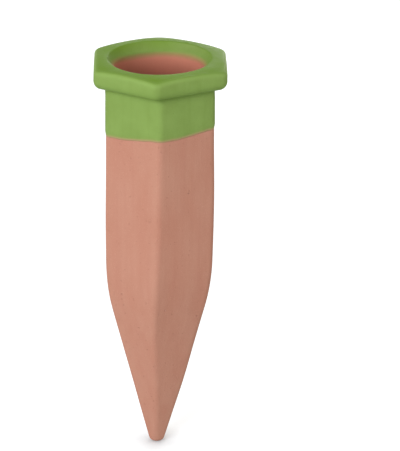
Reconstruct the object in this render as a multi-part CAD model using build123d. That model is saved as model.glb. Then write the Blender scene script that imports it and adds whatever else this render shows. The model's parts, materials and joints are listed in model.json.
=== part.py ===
from build123d import *
import os
from math import asin, atan2, cos, degrees, hypot, pi, tan

# Self watering spike: a hollow six-sided spike of fired clay with a flange round its mouth, dipped in
# glaze at the top. Millimetres. The origin is the middle of the flange's glazed underside, which rests
# on the soil, and +Z points up out of the mouth. One upright edge of the body faces -Y.

# Mouth and hollow
BORE_DIAMETER = 39.0  # takes the neck of an upturned bottle
MOUTH_DIAMETER = 45.0  # upper edge of the glazed funnel that leads into the bore
FUNNEL_DEPTH = 4.0  # top of the flange to the bore
FUNNEL_BEND = 2.0  # soft bend from the bore into the funnel
LIP_ROUND = 0.9  # upper edge of the funnel
WALL = 3.5  # clay between the bore and the middle of a flat, under the flange
POINT_WALL = 4.0  # clay between the hollow and the flats of the point
HOLLOW_END_DIAMETER = 8.0  # floor of the hollow

# Body
SHANK_LENGTH = 90.8  # underside of the flange to the shoulder
SHANK_SWELL = 0.4  # how much wider across its flats the shoulder is than the top of the shank
POINT_LENGTH = 82.3  # shoulder to the tip
SHOULDER_RADIUS = 97.0  # long soft bend from the shank into the point
EDGE_RADIUS = 3.0  # upright edges of the shank
TIP_WIDTH = 5.5  # across the flats at the tip, before the tip is rounded

# Flange
FLANGE_HEIGHT = 9.4  # beside the mouth, with its glaze
CROWN_PAST_MOUTH = 3.0  # how much longer the radius of the crowned top is than that of the mouth
FLANGE_OVERHANG = 5.15  # clay flange beyond the clay shank, at the middle of a flat
FLANGE_CORNER_RADIUS = 3.7  # upright corners of the clay flange
FLANGE_TOP_ROUND = 1.25  # upper rim of the clay flange
FLANGE_BOTTOM_ROUND = 3.3  # lower rim of the clay flange

# Glaze
GLAZE = 0.35  # thickness of the coat
GLAZE_BAND = 20.3  # mean reach of the coat down the shank
GLAZE_PAST_BEND = 0.3333  # straight reach of the coat down the bore, below the funnel's bend
GLAZE_FILLET = 0.8  # glaze pooled in the corner under the flange
# Rise of the glaze line above its mean reach, from the -X side to the +X side of the spike
GLAZE_LINE_FRONT = (-1.9, -1.9, -1.7, -0.5, 0.8, 0.2, 1.4, 2.5, 3.0)
GLAZE_LINE_BACK = (-1.8, -1.6, -0.9, 0.3, 0.1, -0.5, 0.4, 2.2, 2.8)

# Sizes that follow
BORE_RADIUS = BORE_DIAMETER / 2
MOUTH_RADIUS = MOUTH_DIAMETER / 2
FUNNEL_LEAN = atan2(MOUTH_RADIUS - BORE_RADIUS, FUNNEL_DEPTH)  # funnel's side from upright, in radians
GLAZE_INSIDE = FUNNEL_DEPTH + FUNNEL_BEND * tan(FUNNEL_LEAN / 2) + GLAZE_PAST_BEND  # below the top
FLANGE_CROWN = MOUTH_RADIUS + CROWN_PAST_MOUTH  # along which the glazed top falls away from the mouth
SHANK_APOTHEM = BORE_RADIUS + WALL
SHOULDER_APOTHEM = SHANK_APOTHEM + SHANK_SWELL / 2
TIP_APOTHEM = TIP_WIDTH / 2
TIP_CORNER_RADIUS = 0.83 * TIP_APOTHEM  # the edges run out into a nearly round tip
TIP_ROUND = 0.95 * TIP_APOTHEM
FLANGE_APOTHEM = SHANK_APOTHEM + FLANGE_OVERHANG
FLANGE_REACH = (FLANGE_APOTHEM + GLAZE) / cos(pi / 6)  # axis to a glazed corner of the flange
TIP_Z = -SHANK_LENGTH - POINT_LENGTH
HOLLOW_END_RADIUS = HOLLOW_END_DIAMETER / 2
HOLLOW_END_ROUND = 0.75 * HOLLOW_END_RADIUS
CUT_MARGIN = 1.0  # how far a cutting shape runs past the surface that it cuts


def hexagon(apothem, corner_radius, z):
    """Six-sided face with rounded corners, one of them towards -Y."""
    outline = RegularPolygon(apothem, 6, major_radius=False, rotation=30)
    return Pos(0, 0, z) * fillet(outline.vertices(), corner_radius)


def flat_line():
    """Line down the middle of a flat, as (distance from the axis, height), with its soft shoulder."""
    return FilletPolyline(
        (SHANK_APOTHEM, FLANGE_HEIGHT / 4),
        (SHOULDER_APOTHEM, -SHANK_LENGTH),
        (TIP_APOTHEM, TIP_Z),
        radius=SHOULDER_RADIUS,
    ).edges()


def section(place, corner_radius, skin=0.0):
    """Section of the body through a place on the flat line, grown by a skin."""
    return hexagon(place.X + skin, corner_radius + skin, place.Y)


def shank(skin=0.0):
    """Long upper part of the body, from inside the flange to where the shoulder begins."""
    upright = flat_line()[0]
    return loft([section(upright @ end, EDGE_RADIUS, skin) for end in (0, 1)], ruled=True)


def shoulder():
    """Soft bend between the shank and the point."""
    bend = flat_line()[1]
    return loft([section(bend @ station, EDGE_RADIUS) for station in (0, 0.5, 1)])


def point():
    """Tapered lower end, whose edges soften towards its rounded tip."""
    slope = flat_line()[2]
    taper = loft(
        [section(slope @ 0, EDGE_RADIUS), section(slope @ 1, TIP_CORNER_RADIUS)], ruled=True
    )
    return fillet(taper.edges().group_by(Axis.Z)[0], TIP_ROUND)


def below_crown(skin):
    """Everything below the crowned top of the flange and outside the mouth, grown by a skin."""
    inset = GLAZE - skin
    wall = BORE_RADIUS + inset
    top = FLANGE_HEIGHT - inset
    glaze_end = FLANGE_HEIGHT - GLAZE_INSIDE
    crown_start = MOUTH_RADIUS + LIP_ROUND
    reach = FLANGE_REACH + CUT_MARGIN
    funnel = FilletPolyline(
        (0, glaze_end),
        (wall, glaze_end),
        (wall, FLANGE_HEIGHT - FUNNEL_DEPTH - inset * tan(FUNNEL_LEAN / 2)),
        (MOUTH_RADIUS + inset * tan(pi / 4 - FUNNEL_LEAN / 2), top),
        (crown_start, top),
        radius=[0, FUNNEL_BEND - inset, LIP_ROUND - inset],
    )
    crown_radius = FLANGE_CROWN - inset
    fall = -degrees(asin((reach - crown_start) / crown_radius))
    crown = CenterArc((crown_start, top - crown_radius), crown_radius, 90, fall)
    frame = Polyline(crown @ 1, (reach, -CUT_MARGIN), (0, -CUT_MARGIN), (0, glaze_end))
    return revolve(Plane.XZ * make_face(funnel + crown + frame), Axis.Z)


def flange(skin=0.0):
    """Six-sided flange with a crowned top round the mouth, grown by a skin."""
    low = GLAZE - skin
    outline = hexagon(FLANGE_APOTHEM + skin, FLANGE_CORNER_RADIUS + skin, low)
    block = extrude(outline, FLANGE_HEIGHT)
    crown = below_crown(skin)
    capped = block & crown
    capped = fillet(new_edges(block, crown, combined=capped), FLANGE_TOP_ROUND + skin)
    return fillet(capped.edges().group_by(Axis.Z)[0], FLANGE_BOTTOM_ROUND + skin)


def hollow():
    """Cutting shape of the bore and of the tapered hollow below it, which follows the flats."""
    slope = (SHOULDER_APOTHEM - TIP_APOTHEM) / POINT_LENGTH
    wall_across = POINT_WALL * hypot(1, slope)
    bend_z = (BORE_RADIUS + wall_across - SHOULDER_APOTHEM) / slope - SHANK_LENGTH
    floor_z = (HOLLOW_END_RADIUS + wall_across - SHOULDER_APOTHEM) / slope - SHANK_LENGTH
    top = FLANGE_HEIGHT - GLAZE_INSIDE
    side = FilletPolyline(
        (BORE_RADIUS, top),
        (BORE_RADIUS, bend_z),
        (HOLLOW_END_RADIUS, floor_z),
        (0, floor_z),
        radius=[SHOULDER_RADIUS - POINT_WALL, HOLLOW_END_ROUND],
    )
    axis = Polyline((0, floor_z), (0, top), (BORE_RADIUS, top))
    return revolve(Plane.XZ * make_face(side + axis), Axis.Z)


def glaze_line_face(y, rises):
    """Upright face above the glaze line, on the front or back of the spike."""
    reach = FLANGE_REACH + CUT_MARGIN
    top = FLANGE_HEIGHT + CUT_MARGIN
    step = 2 * reach / (len(rises) - 1)
    line = Spline([(i * step - reach, rise - GLAZE_BAND) for i, rise in enumerate(rises)])
    frame = Polyline(line @ 1, (reach, top), (-reach, top), line @ 0)
    return Plane.XZ.offset(-y) * make_face(line + frame)


def above_glaze_line():
    """Everything above the uneven line that the glaze was dipped to."""
    front = glaze_line_face(-FLANGE_REACH - CUT_MARGIN, GLAZE_LINE_FRONT)
    back = glaze_line_face(FLANGE_REACH + CUT_MARGIN, GLAZE_LINE_BACK)
    return loft([front, back], ruled=True)


def clay_blank():
    """Clay body with its mouth, before it is hollowed."""
    return flange() + shank() + shoulder() + point()


def terracotta_body():
    """Hollow clay body."""
    return clay_blank() - hollow()


def glaze_coat():
    """Thin coat over the flange, the collar below it and the lip of the mouth."""
    rim = flange(GLAZE)
    collar = shank(GLAZE)
    outside = rim + collar
    outside = fillet(new_edges(rim, collar, combined=outside), GLAZE_FILLET)
    return (outside & above_glaze_line()) - clay_blank()


PIECES = {"terracotta_body": terracotta_body(), "glaze_coat": glaze_coat()}

os.makedirs("parts", exist_ok=True)
for name, piece in PIECES.items():
    piece.label = name
    export_step(piece, f"parts/{name}.step")
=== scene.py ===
import json
from math import acos, atan2, ceil, cos, exp, hypot, pi, radians, sin, tan

import bpy
import numpy as np
from mathutils import Matrix, Vector, noise

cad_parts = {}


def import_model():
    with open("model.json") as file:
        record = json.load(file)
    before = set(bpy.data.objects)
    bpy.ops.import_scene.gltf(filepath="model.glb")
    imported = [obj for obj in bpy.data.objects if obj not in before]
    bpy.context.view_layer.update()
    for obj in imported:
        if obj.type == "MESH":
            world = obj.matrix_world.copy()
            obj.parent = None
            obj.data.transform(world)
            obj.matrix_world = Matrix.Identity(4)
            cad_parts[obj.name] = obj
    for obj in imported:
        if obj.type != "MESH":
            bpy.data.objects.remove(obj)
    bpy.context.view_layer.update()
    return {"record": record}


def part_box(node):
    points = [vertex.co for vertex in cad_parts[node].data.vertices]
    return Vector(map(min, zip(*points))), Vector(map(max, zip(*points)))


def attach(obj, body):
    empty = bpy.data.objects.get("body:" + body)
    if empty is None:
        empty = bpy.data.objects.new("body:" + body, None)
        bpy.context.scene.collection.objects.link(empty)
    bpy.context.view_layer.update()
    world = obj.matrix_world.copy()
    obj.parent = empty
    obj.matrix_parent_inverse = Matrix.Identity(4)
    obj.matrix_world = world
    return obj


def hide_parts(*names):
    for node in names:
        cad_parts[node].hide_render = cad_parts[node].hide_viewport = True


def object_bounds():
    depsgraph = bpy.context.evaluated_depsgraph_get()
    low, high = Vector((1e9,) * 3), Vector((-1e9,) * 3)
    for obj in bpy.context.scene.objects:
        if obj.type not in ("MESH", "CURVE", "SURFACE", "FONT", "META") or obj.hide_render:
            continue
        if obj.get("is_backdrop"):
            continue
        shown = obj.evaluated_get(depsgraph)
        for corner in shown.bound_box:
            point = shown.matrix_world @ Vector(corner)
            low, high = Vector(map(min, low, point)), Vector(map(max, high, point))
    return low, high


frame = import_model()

# Self watering spike: a hollow six-sided spike of fired clay, dipped in green glaze round its mouth.
# Metres, in the frame's axes: +Z points up out of the mouth, and one upright edge of the body faces -Y.

MM = 0.001
PICTURE_HEIGHT = 451  # longer side of the picture, in pixels

# Sizes read from the frame
clay_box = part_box("terracotta_body")
glaze_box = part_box("glaze_coat")
mouth_mount = next(mount for mount in frame["record"]["mounts"] if mount["name"] == "bottle_mouth")
BORE = mouth_mount["dims"]["r_mm"] * MM  # radius of the bore
TOP = glaze_box[1].z  # glazed top of the flange, beside the mouth
TIP = clay_box[0].z  # lower end of the point
GLAZE = glaze_box[1].z - clay_box[1].z  # thickness of the glaze coat
FLANGE = clay_box[1].x  # axis to the middle of a flat of the clay flange

# Clay body
SHANK = 23.0 * MM  # axis to the middle of a flat, under the flange
SHOULDER = 23.2 * MM  # the same at the shoulder
SHOULDER_Z = -90.8 * MM
SHOULDER_BEND = 97.0 * MM  # radius of the soft bend from the shank into the point
EDGE = 3.0 * MM  # radius of the upright edges
TIP_FLAT = 2.75 * MM  # axis to the middle of a flat at the tip, before the tip is rounded
TIP_EDGE = 0.83 * TIP_FLAT
TIP_ROUND = 0.95 * TIP_FLAT

# Hollow
POINT_WALL = 4.0 * MM  # clay between the hollow and the flats of the point
HOLLOW_END = 4.0 * MM  # radius of the hollow's floor
HOLLOW_END_ROUND = 0.75 * HOLLOW_END
HOLLOW_SHADE_DEPTH = 12.0 * MM  # depth below the glaze at which the painted shade in the hollow is darkest

# Mouth and flange
MOUTH = 22.5 * MM  # radius of the upper edge of the glazed funnel that leads into the bore
FUNNEL_DEPTH = 4.0 * MM
FUNNEL_BEND = 2.0 * MM  # soft bend from the bore into the funnel
LIP = 0.9 * MM  # rounding of the funnel's upper edge
CROWN = 25.5 * MM  # radius along which the flange's top falls away from the mouth
FLANGE_EDGE = 3.7 * MM  # upright corners of the clay flange
FLANGE_TOP_ROUND = 1.25 * MM
FLANGE_LOW_ROUND = 3.3 * MM

# Glaze
GLAZE_BAND = 20.8 * MM  # mean reach of the coat down the shank
GLAZE_INSIDE = 7.0 * MM  # reach of the coat down into the mouth
GLAZE_LINE_INSIDE = 5.0 * MM  # mean reach of its green there
GLAZE_FILLET = 0.8 * MM  # glaze pooled in the corner under the flange
GLAZE_TAPER = 2.6 * MM  # length over which the coat runs out to nothing on the shank
GLAZE_SINK = 0.05 * MM  # how far the coat's lower edge sinks into the clay
GLAZE_FADE = 1.8 * MM  # width over which the coat's lower edge lets the clay show through
GLAZE_FADE_INSIDE = 3.0 * MM  # the same in the mouth
GLAZE_SEAM = 0.05 * MM  # sharp end of the coat in the mouth
EDGE_HIGHLIGHT_REACH = 1.3 * MM  # how far from the flange's upper edge the glaze is drawn paler, as thin glaze breaking over the edge and as a painted highlight
POOL_SHADE_REACH = 2.0 * MM  # how far up the flange the pooled glaze and painted shade under it reach
POOL_SHADE_REACH_COLLAR = 1.0 * MM  # the same down the collar
DEEP_SHADE_FADE = 1.6 * MM  # width over which the deeper glaze and painted shade on the top end at the side
# Rise of the glaze line above its mean reach, in millimetres, by direction in degrees from +X
OUTER_RISE = (
    (-180, -1.7), (-150, -1.7), (-135, -1.8), (-117, -0.9), (-90, 0.8), (-75, 0.1), (-51, 1.1),
    (-30, 2.2), (0, 2.3), (30, 1.6), (60, 0.5), (90, 0.2), (120, -0.5), (150, -1.3),
)
# The same for the line in the mouth
INNER_RISE = (
    (-180, 1.5), (-150, 1.0), (-120, 0.6), (-90, 0.4), (-60, 0.5), (-30, 0.9), (0, 1.2), (30, 0.7),
    (60, 0.3), (90, -0.2), (120, -0.5), (150, 0.4),
)
# Share of the deeper tint taken off in the funnel as painted light, by direction in degrees from +X
FUNNEL_PAINTED_LIGHT = ((-180, 0), (-30, 0), (0, 0.2), (25, 0.6), (55, 1.2), (90, 0.2), (113, 0.7), (135, 0))
LINE_RAGGED = 0.12 * MM  # small unevenness of the glaze lines
LINE_RAGGED_SIZE = 3.0 * MM

# Unevenness of a piece that was cast and finished by hand
WARP = 0.16 * MM
WARP_SIZE = 24.0 * MM
WARP_SHIFT = Vector((7.3, 3.1, 5.7))  # between the noises that warp it along the three axes
SKEW = 1.7 * MM  # how far the front of the flange sits towards -X
SKEW_FADE = 6.0 * MM  # depth below the flange at which the skew has gone
SWAY = 1.6 * MM  # how far the front edge bends towards -X below the shoulder
SWAY_Z = -105.0 * MM  # height at which it bends most
SWAY_REACH = 30.0 * MM
# Where a side is fuller or flatter: the +X or -X side, by how much, at which height and over which reach
FULLNESS = (
    (1, 0.87 * MM, -57.0 * MM, 32.0 * MM),
    (1, 0.92 * MM, -138.0 * MM, 31.0 * MM),
    (-1, -0.35 * MM, -80.0 * MM, 15.0 * MM),
)

# Mesh density
AROUND = 30  # columns per side of the hexagon
SPACING = 1.0 * MM  # between rings
BEND_STEPS = 6  # least number of rings round a bend
SMOOTHING = 12  # degrees to either side over which levels given by direction are smoothed
SMOOTHING_STEPS = 9
TINY = 1e-9  # keeps the middle of a closed end off zero


def corner(apothem, edge, z, sway=0.0, bend=0.0):
    """One corner of a profile: a section with its edge radius, its height, its sway and its rounding."""
    return np.array((apothem, edge, z, sway)), bend


def flat_length(step):
    """Length of a step along a profile, in the plane of the axis."""
    return hypot(step[0], step[2])


def run(start, end):
    """Evenly spaced sections between two corners, without the corners."""
    steps = max(1, ceil(flat_length(end - start) / SPACING))
    return list(np.linspace(start, end, steps + 1)[1:-1])


def bend_round(before, here, after, radius):
    """Sections along the arc that rounds one corner."""
    back = (before - here) / flat_length(before - here)
    ahead = (after - here) / flat_length(after - here)
    half_turn = (pi - acos(back[0] * ahead[0] + back[2] * ahead[2])) / 2
    reach = radius * tan(half_turn)
    steps = max(BEND_STEPS, ceil(2 * half_turn * radius / SPACING))
    sections = []
    for step in np.linspace(0, 1, steps + 1):
        weights = np.array(((1 - step) ** 2, 2 * step * (1 - step) * cos(half_turn), step**2))
        weights /= weights.sum()
        sections.append(weights @ np.array((here + reach * back, here, here + reach * ahead)))
    return sections


def profile(corners):
    """Sections along a profile, with its corners rounded."""
    points = [point for point, bend in corners]
    sections = [points[0]]
    for index in range(1, len(corners)):
        point, bend = corners[index]
        arc = [point]
        if bend:
            arc = bend_round(points[index - 1], point, points[index + 1], bend)
        sections += run(sections[-1], arc[0]) + arc
    return np.array(sections)


def directions():
    """Directions round the axis in radians, closer together near the six edges."""
    steps = (np.arange(AROUND) + 1) / AROUND * 2 - 1
    from_edge = radians(30) * steps * abs(steps)
    return np.concatenate([from_edge + radians(60 * side - 90) for side in range(6)])


def by_direction(places):
    """Smooth curve round the axis through levels that are given by their directions in degrees."""
    angles, levels = zip(*places)
    spread = np.linspace(-SMOOTHING, SMOOTHING, SMOOTHING_STEPS)
    near = (np.degrees(directions())[:, None] + spread + 180) % 360 - 180
    return np.interp(near, angles + (180,), levels + levels[:1]).mean(1)


def line_rises(line):
    """Height of a glaze line above its mean in each direction, a little ragged."""
    ring = [Vector((cos(turn), sin(turn), 0)) * (SHANK / LINE_RAGGED_SIZE) for turn in directions()]
    return by_direction(line) * MM + LINE_RAGGED * np.array([noise.noise(place) for place in ring])


def section_radius(apothem, edge, turns):
    """Distance from the axis to a six-sided section with rounded edges, in each direction."""
    core = apothem - edge
    from_flat = abs((turns + radians(30)) % radians(60) - radians(30))
    from_edge = radians(30) - from_flat
    centre = core / cos(radians(30))
    flat = apothem / np.cos(from_flat)
    inside = np.maximum(edge**2 - (centre * np.sin(from_edge)) ** 2, 0)
    arc = centre * np.cos(from_edge) + np.sqrt(inside)
    return np.where(from_flat <= np.arctan2(core * tan(radians(30)), apothem), flat, arc)


def crown_drop(radius, z):
    """How far the flange's top lies below its crest, fading out down the flange's side."""
    out = np.maximum(radius - MOUTH - LIP, 0)
    upper = np.clip((z - FLANGE_LOW_ROUND) / (TOP - 2 * FLANGE_TOP_ROUND - FLANGE_LOW_ROUND), 0, 1)
    return upper * (CROWN - np.sqrt(CROWN**2 - out**2))


def surface_points(sections):
    """Points of a surface, ring after ring, before it is made uneven."""
    turns = directions()
    rises = line_rises(OUTER_RISE)
    rings = []
    for apothem, edge, z, sway in sections:
        radius = section_radius(max(apothem, TINY), edge, turns)
        height = z + sway * rises - crown_drop(radius, z)
        rings.append(np.stack((radius * np.cos(turns), radius * np.sin(turns), height), 1))
    return np.array(rings)


def near_height(z, height, reach):
    """1 at a height, falling off smoothly above and below it."""
    return exp(-(((z - height) / reach) ** 2))


def uneven(point):
    """Place of a point on the piece as it came out of the mould and the kiln."""
    place = Vector(point)
    high = min(max(1 + place.z / SKEW_FADE, 0), 1) ** 3
    across = 1 - (place.x / FLANGE) ** 2
    front = (1 - place.y / FLANGE) / 2
    place.x -= SKEW * high * across * front
    from_axis = hypot(place.x, place.y)
    facing_front = min(place.y, 0) / from_axis
    place.x -= SWAY * facing_front**4 * near_height(place.z, SWAY_Z, SWAY_REACH)
    for side, amount, height, reach in FULLNESS:
        facing_side = max(side * place.x, 0) / from_axis
        place.x += side * amount * facing_side * near_height(place.z, height, reach)
    warp = [noise.noise(place / WARP_SIZE + axis * WARP_SHIFT) for axis in range(3)]
    return place + WARP * Vector(warp)


def mesh_piece(name, rings, closed, node, material, attributes):
    """Piece made of rings of points: a closed loop of rings, or one that ends in a point at each end."""
    count = rings.shape[1]
    points = [uneven(point) for point in rings.reshape(-1, 3)]
    faces = []
    for ring in range(len(rings) - (0 if closed else 1)):
        first = ring * count
        second = (ring + 1) % len(rings) * count
        for step in range(count):
            after = (step + 1) % count
            faces.append((first + step, second + step, second + after, first + after))
    if not closed:
        faces.append(tuple(range(count)))
        faces.append(tuple(reversed(range(len(points) - count, len(points)))))
    mesh = bpy.data.meshes.new(name)
    mesh.from_pydata(points, [], faces)
    mesh.polygons.foreach_set("use_smooth", [True] * len(faces))
    for label, values in attributes.items():
        mesh.attributes.new(label, "FLOAT", "POINT").data.foreach_set("value", values.ravel())
    mesh.materials.append(material)
    piece = bpy.data.objects.new(name, mesh)
    bpy.context.scene.collection.objects.link(piece)
    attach(piece, "root")
    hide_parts(node)


def rim(skin):
    """Corners from the mouth over the flange to the shank, on the clay or, with a skin, on the glaze."""
    inset = GLAZE - skin
    lean = atan2(MOUTH - BORE, FUNNEL_DEPTH)
    wall = BORE + inset
    mouth = MOUTH + inset * tan(pi / 4 - lean / 2)
    crest = MOUTH + LIP
    top = TOP - inset
    side = FLANGE + skin
    edge = FLANGE_EDGE + skin
    top_round = FLANGE_TOP_ROUND + skin
    low_round = FLANGE_LOW_ROUND + skin
    return [
        corner(wall, wall, TOP - GLAZE_INSIDE),
        corner(wall, wall, TOP - GLAZE_INSIDE + GLAZE_SEAM),
        corner(wall, wall, TOP - FUNNEL_DEPTH - inset * tan(lean / 2), bend=FUNNEL_BEND - inset),
        corner(mouth, mouth, top, bend=LIP - inset),
        corner(crest, crest, top),
        corner(side - top_round, edge - top_round, top),
        corner(side, edge, top, bend=top_round),
        corner(side, edge, inset, bend=low_round),
        corner(side - low_round, edge - low_round, inset),
        corner(SHANK + skin, EDGE + skin, inset, bend=GLAZE_FILLET * skin / GLAZE),
    ]


def hollow():
    """Corners from the middle of the hollow's floor up to the glaze in the mouth."""
    slope = (SHOULDER - TIP_FLAT) / (SHOULDER_Z - TIP)
    wall_across = POINT_WALL * hypot(1, slope)
    bend_z = (BORE + wall_across - SHOULDER) / slope + SHOULDER_Z
    floor_z = (HOLLOW_END + wall_across - SHOULDER) / slope + SHOULDER_Z
    return [
        corner(0, 0, floor_z),
        corner(HOLLOW_END, HOLLOW_END, floor_z, bend=HOLLOW_END_ROUND),
        corner(BORE, BORE, bend_z, bend=SHOULDER_BEND - POINT_WALL),
        corner(BORE, BORE, TOP - GLAZE_INSIDE - GLAZE_SEAM),
        corner(BORE, BORE, TOP - GLAZE_INSIDE),
    ]


def clay_body(material):
    """Hollow clay body, from the floor of its hollow over the flange to its tip."""
    body = [
        corner(SHOULDER, EDGE, SHOULDER_Z, bend=SHOULDER_BEND),
        corner(TIP_FLAT, TIP_EDGE, TIP, bend=TIP_ROUND),
        corner(0, 0, TIP),
    ]
    sections = profile(hollow() + rim(0) + body)
    in_hollow = np.arange(len(sections)) < len(profile(hollow()))
    # Painted bounce light and painted shade in the hollow, the shade darkest at a depth below the glaze
    depth = np.clip((TOP - GLAZE_INSIDE - sections[:, 2]) / HOLLOW_SHADE_DEPTH, 0, 1)
    hollow_light_and_shade = np.outer((1 + depth) / 2 * in_hollow, np.ones(len(directions())))
    mesh_piece(
        "clay_body", surface_points(sections)[1:-1], False, "terracotta_body", material,
        {"hollow_light_and_shade": hollow_light_and_shade[1:-1]},
    )


def glaze_skin(material):
    """Glaze coat over the lip, the flange and the collar below it, which runs out thin at its edges."""
    collar = SHANK + (SHOULDER - SHANK) * GLAZE_BAND / -SHOULDER_Z
    run_out = [
        corner(collar + GLAZE, EDGE + GLAZE, GLAZE_TAPER - GLAZE_BAND, sway=1.0, bend=2 * GLAZE),
        corner(collar - GLAZE_SINK, EDGE - GLAZE_SINK, -GLAZE_BAND, sway=1.0),
    ]
    sections = profile(rim(GLAZE) + run_out + rim(0)[::-1])
    rings = surface_points(sections)
    above_line = rings[:, :, 2] + GLAZE_BAND - line_rises(OUTER_RISE)
    inside = np.outer(sections[:, 0] < MOUTH, np.ones(rings.shape[1]))
    above_inner_line = rings[:, :, 2] - TOP + GLAZE_LINE_INSIDE - line_rises(INNER_RISE)
    side = FLANGE + GLAZE
    # Pooled glaze with painted shade in the crease under the flange
    reach = np.where(sections[:, 2] < 0, POOL_SHADE_REACH_COLLAR, POOL_SHADE_REACH)
    pool_shade = np.exp(-abs(sections[:, 2]) / reach)
    above_green = np.clip(1 + (sections[:, 2] - TOP) / GLAZE_LINE_INSIDE, 0, 1)
    # Deeper glaze with painted shade on the top and in the funnel
    deep_glaze_and_shade = np.clip((side - sections[:, 0]) / DEEP_SHADE_FADE, 0, 1) * above_green
    # Thin glaze over the flange's upper edge, with a painted highlight there
    edge = np.exp(-((np.hypot(sections[:, 0] - side, sections[:, 2] - TOP) / EDGE_HIGHLIGHT_REACH) ** 2))
    around = np.ones(rings.shape[1])
    mesh_piece(
        "glaze_skin", rings, True, "glaze_coat", material,
        {
            "thin": np.clip(1 - above_line / GLAZE_FADE, 0, 1) * (1 - inside),
            "thin_inside": np.clip(0.5 - above_inner_line / GLAZE_FADE_INSIDE, 0, 1) * inside,
            # The funnel's deeper tint is lifted by direction as painted light
            "deep_glaze_and_shade": np.outer(deep_glaze_and_shade, around) * (1 - inside * by_direction(FUNNEL_PAINTED_LIGHT)),
            "pool_shade": np.outer(pool_shade, around) * (1 - inside),
            "edge": np.outer(edge, around),
        },
    )


def srgb(red, green, blue):
    """Colour for a shader from its screen values, 0 to 255."""
    levels = np.array((red, green, blue)) / 255
    linear = np.where(levels <= 0.04045, levels / 12.92, ((levels + 0.055) / 1.055) ** 2.4)
    return (*linear, 1.0)


# Colours of the fired clay
CLAY_DEEP = srgb(194, 137, 114)
CLAY_PALE = srgb(198, 144, 121)
CLAY_RED_BOUNCE = srgb(212, 139, 115)  # inside the mouth and hollow, redder and brighter as painted bounce light
CLAY_HOLLOW_SHADE = srgb(150, 80, 62)  # painted shade deep in the hollow
CLAY_STREAK = srgb(190, 130, 109)
CLAY_SAND = srgb(217, 172, 150)
CLAY_SPECK = srgb(130, 84, 68)

# Colours of the glaze
GLAZE_DARK = srgb(130, 156, 79)
GLAZE_LIGHT = srgb(136, 163, 85)
GLAZE_RUN = srgb(121, 147, 68)
GLAZE_DEEP_AND_SHADE = srgb(113, 151, 38)  # deeper glaze on the top and in the funnel, with painted shade there
GLAZE_POOL_SHADE = srgb(100, 132, 46)  # glaze pooled in the corner under the flange, with painted shade there
GLAZE_EDGE_HIGHLIGHT = srgb(150, 180, 98)  # paler glaze breaking over the flange's upper edge, with a painted highlight there


def new_tree(name):
    """Material with its node tree and shader."""
    material = bpy.data.materials.new(name)
    material.use_nodes = True
    return material, material.node_tree, material.node_tree.nodes["Principled BSDF"]


def node(tree, kind, settings=None, **inputs):
    """Node with its settings, and with its inputs given as values or as sockets to link."""
    made = tree.nodes.new(kind)
    for label, value in (settings or {}).items():
        setattr(made, label, value)
    for label, value in inputs.items():
        socket = made.inputs[label]
        if isinstance(value, bpy.types.NodeSocket):
            tree.links.new(value, socket)
        else:
            socket.default_value = value
    return made


def grain(tree, size, detail, stretch=(1, 1, 1), shift=0.0):
    """Noise whose features are of one size in metres, stretched along the axes."""
    place = node(tree, "ShaderNodeTexCoord").outputs["Object"]
    mapping = node(
        tree, "ShaderNodeMapping", Vector=place, Scale=[1 / (size * axis) for axis in stretch],
        Location=(shift, shift, shift),
    )
    noise_node = node(
        tree, "ShaderNodeTexNoise", Vector=mapping.outputs["Vector"], Scale=1.0, Detail=detail
    )
    return noise_node.outputs["Fac"]


def ramp(tree, value, low, high, start=0.0, end=1.0):
    """Value spread from one range over another, and held at its ends."""
    mapped = node(tree, "ShaderNodeMapRange")
    tree.links.new(value, mapped.inputs["Value"])
    for label, level in zip(("From Min", "From Max", "To Min", "To Max"), (low, high, start, end)):
        mapped.inputs[label].default_value = level
    return mapped.outputs["Result"]


def tint(tree, colour, factor, other):
    """Colour mixed with another by a factor."""
    mixed = node(tree, "ShaderNodeMix", {"data_type": "RGBA", "blend_type": "MIX"})
    for label, value in (("Factor_Float", factor), ("A_Color", colour), ("B_Color", other)):
        socket = next(each for each in mixed.inputs if each.identifier == label)
        if isinstance(value, bpy.types.NodeSocket):
            tree.links.new(value, socket)
        else:
            socket.default_value = value
    return next(each for each in mixed.outputs if each.identifier == "Result_Color")


def attribute(tree, name):
    """Value that a mesh carries at its points."""
    return node(tree, "ShaderNodeAttribute", {"attribute_name": name}).outputs["Fac"]


def bumps(tree, shader, layers):
    """Fine relief on a shader, from layers of height values and their depths in metres."""
    normal = None
    for height, depth in layers:
        bump = node(tree, "ShaderNodeBump", Height=height, Distance=depth, Strength=1.0)
        if normal:
            tree.links.new(normal, bump.inputs["Normal"])
        normal = bump.outputs["Normal"]
    tree.links.new(normal, shader.inputs["Normal"])


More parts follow.
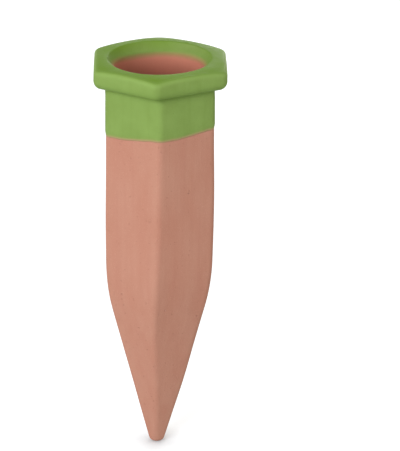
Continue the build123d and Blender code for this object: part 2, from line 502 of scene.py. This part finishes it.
def clay_material():
    """Matt fired clay: sandy grain, cloudy patches, upright wiping streaks, pits and dark specks, with
    painted bounce light and painted shade in the hollow.
    """
    material, tree, shader = new_tree("fired_clay")
    patches = grain(tree, 11 * MM, 4, stretch=(1, 1, 2.2))
    streaks = grain(tree, 2.5 * MM, 3, stretch=(1, 1, 22))
    sand = grain(tree, 0.5 * MM, 2)
    specks = grain(tree, 1.6 * MM, 1, shift=3.7)
    pits = grain(tree, 1.1 * MM, 1, shift=9.1)
    colour = tint(tree, CLAY_DEEP, ramp(tree, patches, 0.35, 0.65), CLAY_PALE)
    colour = tint(tree, colour, ramp(tree, streaks, 0.45, 0.75, 0, 0.35), CLAY_STREAK)
    colour = tint(tree, colour, ramp(tree, sand, 0.55, 0.75, 0, 0.25), CLAY_SAND)
    colour = tint(tree, colour, ramp(tree, specks, 0.76, 0.82, 0, 0.4), CLAY_SPECK)
    # Painted bounce light in the hollow as redder clay, and painted shade darkening with depth below the
    # glaze
    hollow_light_and_shade = attribute(tree, "hollow_light_and_shade")
    colour = tint(tree, colour, ramp(tree, hollow_light_and_shade, 0, 0.5), CLAY_RED_BOUNCE)
    colour = tint(tree, colour, ramp(tree, hollow_light_and_shade, 0.5, 1, 0, 0.8), CLAY_HOLLOW_SHADE)
    tree.links.new(colour, shader.inputs["Base Color"])
    tree.links.new(ramp(tree, sand, 0.3, 0.7, 0.82, 0.97), shader.inputs["Roughness"])
    shader.inputs["Specular IOR Level"].default_value = 0.1
    shader.inputs["Diffuse Roughness"].default_value = 0.2
    pit_floor = ramp(tree, pits, 0.72, 0.80, 1, 0)
    relief = ((patches, 0.3 * MM), (streaks, 0.1 * MM), (sand, 0.06 * MM), (pit_floor, 0.2 * MM))
    bumps(tree, shader, relief)
    return material


def glaze_material():
    """Satin green glaze: deeper where it lies thick, paler over an edge, with clay showing at its ends;
    these tints also carry painted shade, painted light and painted highlights.
    """
    material, tree, shader = new_tree("green_glaze")
    clouds = grain(tree, 11 * MM, 3, shift=5.3)
    runs = grain(tree, 3 * MM, 2, stretch=(1, 1, 9), shift=1.9)
    peel = grain(tree, 1.4 * MM, 1)
    pinholes = grain(tree, 0.9 * MM, 1, shift=7.7)
    colour = tint(tree, GLAZE_DARK, ramp(tree, clouds, 0.35, 0.65), GLAZE_LIGHT)
    colour = tint(tree, colour, ramp(tree, runs, 0.5, 0.8, 0, 0.3), GLAZE_RUN)
    # Deeper glaze and painted shade on the top and in the funnel
    colour = tint(tree, colour, ramp(tree, attribute(tree, "deep_glaze_and_shade"), 0, 1, 0, 0.85), GLAZE_DEEP_AND_SHADE)
    # Pooled glaze and painted shade in the crease under the flange
    colour = tint(tree, colour, ramp(tree, attribute(tree, "pool_shade"), 0, 1, 0, 0.7), GLAZE_POOL_SHADE)
    # Paler glaze over the flange's upper edge, with a painted highlight there
    colour = tint(tree, colour, ramp(tree, attribute(tree, "edge"), 0, 1, 0, 0.65), GLAZE_EDGE_HIGHLIGHT)
    colour = tint(tree, colour, attribute(tree, "thin"), CLAY_PALE)
    # Clay in the mouth, with its painted bounce light, shows where the glaze thins
    colour = tint(tree, colour, attribute(tree, "thin_inside"), CLAY_RED_BOUNCE)
    tree.links.new(colour, shader.inputs["Base Color"])
    tree.links.new(ramp(tree, clouds, 0.3, 0.7, 0.46, 0.56), shader.inputs["Roughness"])
    shader.inputs["Specular IOR Level"].default_value = 0.05
    hole = ramp(tree, pinholes, 0.74, 0.80, 1, 0)
    relief = ((clouds, 0.3 * MM), (runs, 0.1 * MM), (peel, 0.05 * MM), (hole, 0.1 * MM))
    bumps(tree, shader, relief)
    return material


# Camera, at the picture's viewing angle
CAMERA_DISTANCE = 1.201
CAMERA_DIRECTION = radians(-90.5)
CAMERA_ELEVATION = radians(22.843)
CAMERA_AIM = Vector((0, 0, -85.0 * MM))
CAMERA_ROLL = radians(0.596)
CAMERA_TURN = radians(-0.88)
CAMERA_TILT = radians(0.738)
FOCAL_PIXELS = 2720.4  # focal length in pixels of the picture
SENSOR = 36.0  # longer side of the sensor, in millimetres

# Light
SKY_COLOUR = (1, 0.965, 0.94, 1)
SKY_LOW = 0.71  # strength at the horizon
SKY_HIGH = 0.30  # strength overhead
LAMP_DISTANCE = 1.2
LAMP_SIZE = 0.7
# Each lamp's name, its degrees round the axis from +X and above the floor, its level and its colour
LAMPS = (
    ("key", -121, 25, 0.67, (0.97, 1.0, 1.09)),
    ("back", 75, 18, 0.3, (1.0, 0.98, 0.95)),
    ("fill", 0, 21, 0.1, (1.0, 0.98, 0.95)),
)

# Floor
FLOOR_HALF = 6.0  # half its width
FLOOR_COLOUR = (0.67, 0.71, 0.715, 1)
FLOOR_GLOW = 0.6  # brings the open floor up to white
SHADOW_GLOW = 0.18  # the same where the tip stands
CONTACT_SHADOW = 13.0 * MM  # reach of the shadow where the tip touches the floor


def direction(turn, rise):
    """Unit vector from the spike, by its angle round the axis from +X and its angle above the floor."""
    return Vector((cos(turn) * cos(rise), sin(turn) * cos(rise), sin(rise)))


def camera():
    """Camera that sees the spike left of the middle of its picture."""
    data = bpy.data.cameras.new("camera")
    data.sensor_width = SENSOR
    data.lens = SENSOR * FOCAL_PIXELS / PICTURE_HEIGHT
    away = direction(CAMERA_DIRECTION, CAMERA_ELEVATION)
    look = (-away).to_track_quat("-Z", "Y").to_matrix().to_4x4()
    turned = Matrix.Rotation(CAMERA_ROLL, 4, "Z") @ Matrix.Rotation(CAMERA_TURN, 4, "Y")
    tilted = turned @ Matrix.Rotation(CAMERA_TILT, 4, "X")
    made = bpy.data.objects.new("camera", data)
    made.matrix_world = Matrix.Translation(CAMERA_AIM + CAMERA_DISTANCE * away) @ look @ tilted
    bpy.context.scene.collection.objects.link(made)
    bpy.context.scene.camera = made


def lamp(name, turn, rise, level, colour):
    """Soft square lamp that lights a surface facing it to a level, where 1 shows its colour as written."""
    data = bpy.data.lights.new(name, "AREA")
    data.size = LAMP_SIZE
    data.energy = level * pi * pi * LAMP_DISTANCE**2
    data.color = colour
    made = bpy.data.objects.new(name, data)
    away = direction(radians(turn), radians(rise))
    made.location = CAMERA_AIM + LAMP_DISTANCE * away
    made.rotation_euler = (-away).to_track_quat("-Z", "Y").to_euler()
    bpy.context.scene.collection.objects.link(made)


def backdrop_seen(tree):
    """1 for rays that show the backdrop itself, and 0 for rays that carry light to the object."""
    path = node(tree, "ShaderNodeLightPath")
    seen = path.outputs["Is Camera Ray"]
    for label in ("Is Glossy Ray", "Is Transmission Ray"):
        both = node(tree, "ShaderNodeMath", {"operation": "MAXIMUM"})
        tree.links.new(seen, both.inputs[0])
        tree.links.new(path.outputs[label], both.inputs[1])
        seen = both.outputs[0]
    return seen


def world():
    """White surroundings that light the object softly, more from the sides than from above."""
    made = bpy.data.worlds.new("studio")
    bpy.context.scene.world = made
    made.use_nodes = True
    tree = made.node_tree
    tree.nodes.clear()
    place = node(tree, "ShaderNodeTexCoord").outputs["Generated"]
    height = node(tree, "ShaderNodeSeparateXYZ", Vector=place).outputs["Z"]
    strength = ramp(tree, height, 0.0, 1.0, SKY_LOW, SKY_HIGH)
    light = node(tree, "ShaderNodeBackground", Color=SKY_COLOUR, Strength=strength)
    white = node(tree, "ShaderNodeBackground", Color=(1, 1, 1, 1), Strength=1.0)
    mixed = node(tree, "ShaderNodeMixShader", Fac=backdrop_seen(tree))
    tree.links.new(light.outputs["Background"], mixed.inputs[1])
    tree.links.new(white.outputs["Background"], mixed.inputs[2])
    output = node(tree, "ShaderNodeOutputWorld")
    tree.links.new(mixed.outputs["Shader"], output.inputs["Surface"])


def floor_material():
    """Pale floor that shows white and keeps a soft shadow."""
    material, tree, shader = new_tree("pale_floor")
    shader.inputs["Base Color"].default_value = FLOOR_COLOUR
    shader.inputs["Roughness"].default_value = 0.9
    shader.inputs["Specular IOR Level"].default_value = 0.0
    shader.inputs["Emission Color"].default_value = (1, 1, 1, 1)
    # The glow dims where the tip hides the floor: a painted contact shadow, on top of the shadow the
    # floor's own shading keeps
    cover = node(tree, "ShaderNodeAmbientOcclusion", {"samples": 16}, Distance=CONTACT_SHADOW)
    glow = node(tree, "ShaderNodeMath", {"operation": "MULTIPLY"})
    open_sky = ramp(tree, cover.outputs["AO"], 0.5, 1.0, SHADOW_GLOW, FLOOR_GLOW)
    tree.links.new(open_sky, glow.inputs[0])
    tree.links.new(backdrop_seen(tree), glow.inputs[1])
    tree.links.new(glow.outputs[0], shader.inputs["Emission Strength"])
    return material


def floor():
    """Wide plain floor under the tip."""
    mesh = bpy.data.meshes.new("floor")
    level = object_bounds()[0].z
    corners = [(x * FLOOR_HALF, y * FLOOR_HALF, level) for x, y in ((-1, -1), (1, -1), (1, 1), (-1, 1))]
    mesh.from_pydata(corners, [], [(0, 1, 2, 3)])
    mesh.materials.append(floor_material())
    made = bpy.data.objects.new("floor", mesh)
    bpy.context.scene.collection.objects.link(made)
    made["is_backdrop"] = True


clay_body(clay_material())
glaze_skin(glaze_material())
camera()
world()
for settings in LAMPS:
    lamp(*settings)
floor()
bpy.context.scene.view_settings.view_transform = "Standard"
